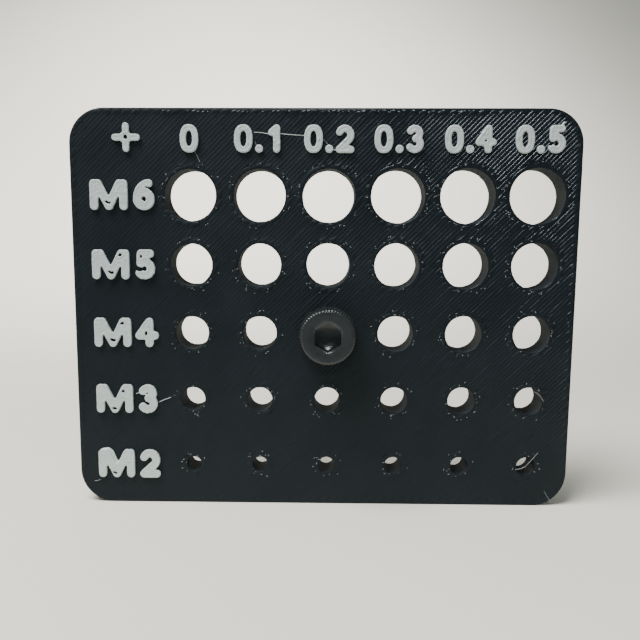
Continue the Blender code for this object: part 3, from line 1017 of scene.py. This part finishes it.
def add_camera():
    """The camera at the photograph's place, with the lens and shift that its perspective gives."""
    focal_pixels = 786.46
    centre_pixel = (302.57, 350.16)
    image_width = 640
    sensor = 36.0
    place = (-0.8407 * MM, -94.2819 * MM, 32.5789 * MM)
    to_left, down, tilt = math.radians(0.994), math.radians(8.439), math.radians(0.258)
    data = bpy.data.cameras.new("camera")
    data.sensor_width = sensor
    data.lens = focal_pixels * sensor / image_width
    data.shift_x = (image_width / 2 - centre_pixel[0]) / image_width
    data.shift_y = (centre_pixel[1] - image_width / 2) / image_width
    data.clip_start = 0.005
    data.clip_end = 20.0
    camera = link_object("camera", data)
    camera.matrix_world = (Matrix.Translation(place) @ Matrix.Rotation(to_left, 4, "Z")
                           @ Matrix.Rotation(math.pi / 2 - down, 4, "X") @ Matrix.Rotation(tilt, 4, "Z"))
    bpy.context.scene.camera = camera


def stage_sheet(name, line, material):
    """Stage a sheet that is as wide as the studio and follows a line of (y, z) points."""
    points = [(x, y, z) for y, z in line for x in (-SHEET_HALF_WIDTH, SHEET_HALF_WIDTH)]
    faces = [(2 * i, 2 * i + 1, 2 * i + 3, 2 * i + 2) for i in range(len(line) - 1)]
    mesh = bpy.data.meshes.new(name)
    mesh.from_pydata(points, [], faces)
    mesh.shade_smooth()
    mesh.materials.append(material)
    link_object(name, mesh)


class GAUGE_OT_studio(Operator):
    """Build the paper sweep, the table top, the soft lights and the camera"""
    bl_idname = "gauge.studio"
    bl_label = "Studio"

    def execute(self, context):
        settings = context.scene.gauge_stage
        add_camera()
        stage_sheet("paper_sweep", self.sweep_line(),
                    stage_material("matt_paper", settings.paper, contrast=0.015, size=40 * MM,
                                   detail=2.0, roughness=0.9))
        # The grey table carries on where the paper ends, in front of the view.
        stage_sheet("table_top", [(TABLE_FRONT_Y, 0.0), (PAPER_FRONT_Y, 0.0)],
                    stage_material("grey_laminate", linear_colour("#6c7073"), contrast=0.05,
                                   size=25 * MM, detail=3.0, roughness=0.6))
        add_light("overhead_light", "AREA", (-0.11, -0.10, 0.30), (-0.03, 0.0, 0.0),
                  settings.overhead_power, size=0.18)
        add_light("backdrop_light", "SPOT", (-0.02, 0.16, 0.42), (-0.08, 0.36, 0.05),
                  settings.backdrop_power, shadow_soft_size=0.09, spot_size=math.radians(90.0),
                  spot_blend=1.0)
        add_light("front_light", "AREA", (-0.005, -0.47, 0.25), (0.0, 0.0, 0.02),
                  settings.front_power, size=0.04)
        world = bpy.data.worlds.new("soft_sky")
        world.use_nodes = True
        set_inputs(world.node_tree.nodes["Background"],
                   {"Color": (0.76, 0.91, 1.0, 1.0), "Strength": settings.sky})
        context.scene.world = world
        return {"FINISHED"}

    def sweep_line(self):
        """Floor, bend and back wall of the paper as a line of (y, z) points."""
        bend_start = 0.10
        bend = 0.45
        height = 1.2
        line = [(PAPER_FRONT_Y, 0.0), (bend_start, 0.0)]
        for step in range(1, 17):
            angle = math.radians(90 * step / 16)
            line.append((bend_start + bend * math.sin(angle), bend - bend * math.cos(angle)))
        line.append((bend_start + bend, height))
        return line


class GAUGE_PT_panel(Panel):
    """Sidebar panel that lists the operators that build the gauge's pieces"""
    bl_idname = "GAUGE_PT_panel"
    bl_label = "Printed Hole Gauge"
    bl_space_type = "VIEW_3D"
    bl_region_type = "UI"
    bl_category = "Gauge"

    def draw(self, context):
        for operator_class in PIECE_OPERATORS:
            self.layout.operator(operator_class.bl_idname)


PIECE_OPERATORS = (GAUGE_OT_studio, GAUGE_OT_plate_core, GAUGE_OT_face_beads, GAUGE_OT_marks,
                   GAUGE_OT_stray_filament, GAUGE_OT_cap_screw)
SETTINGS = {
    "gauge_plate": GaugePlateSettings,
    "gauge_marks": GaugeMarkSettings,
    "gauge_screw": GaugeScrewSettings,
    "gauge_stage": GaugeStageSettings,
}
CLASSES = (*SETTINGS.values(), *PIECE_OPERATORS, GAUGE_PT_panel)


def register():
    """Register the settings, the operators and the panel."""
    for each_class in CLASSES:
        bpy.utils.register_class(each_class)
    for name, settings_class in SETTINGS.items():
        setattr(bpy.types.Scene, name, PointerProperty(type=settings_class))


def unregister():
    """Undo what register does."""
    for name in SETTINGS:
        delattr(bpy.types.Scene, name)
    for each_class in reversed(CLASSES):
        bpy.utils.unregister_class(each_class)


def main():
    """Build every piece in order."""
    register()
    bpy.ops.gauge.studio()
    bpy.ops.gauge.plate_core()
    bpy.ops.gauge.face_beads()
    bpy.ops.gauge.marks()
    bpy.ops.gauge.stray_filament()
    bpy.ops.gauge.cap_screw()


if __name__ == "__main__":
    main()
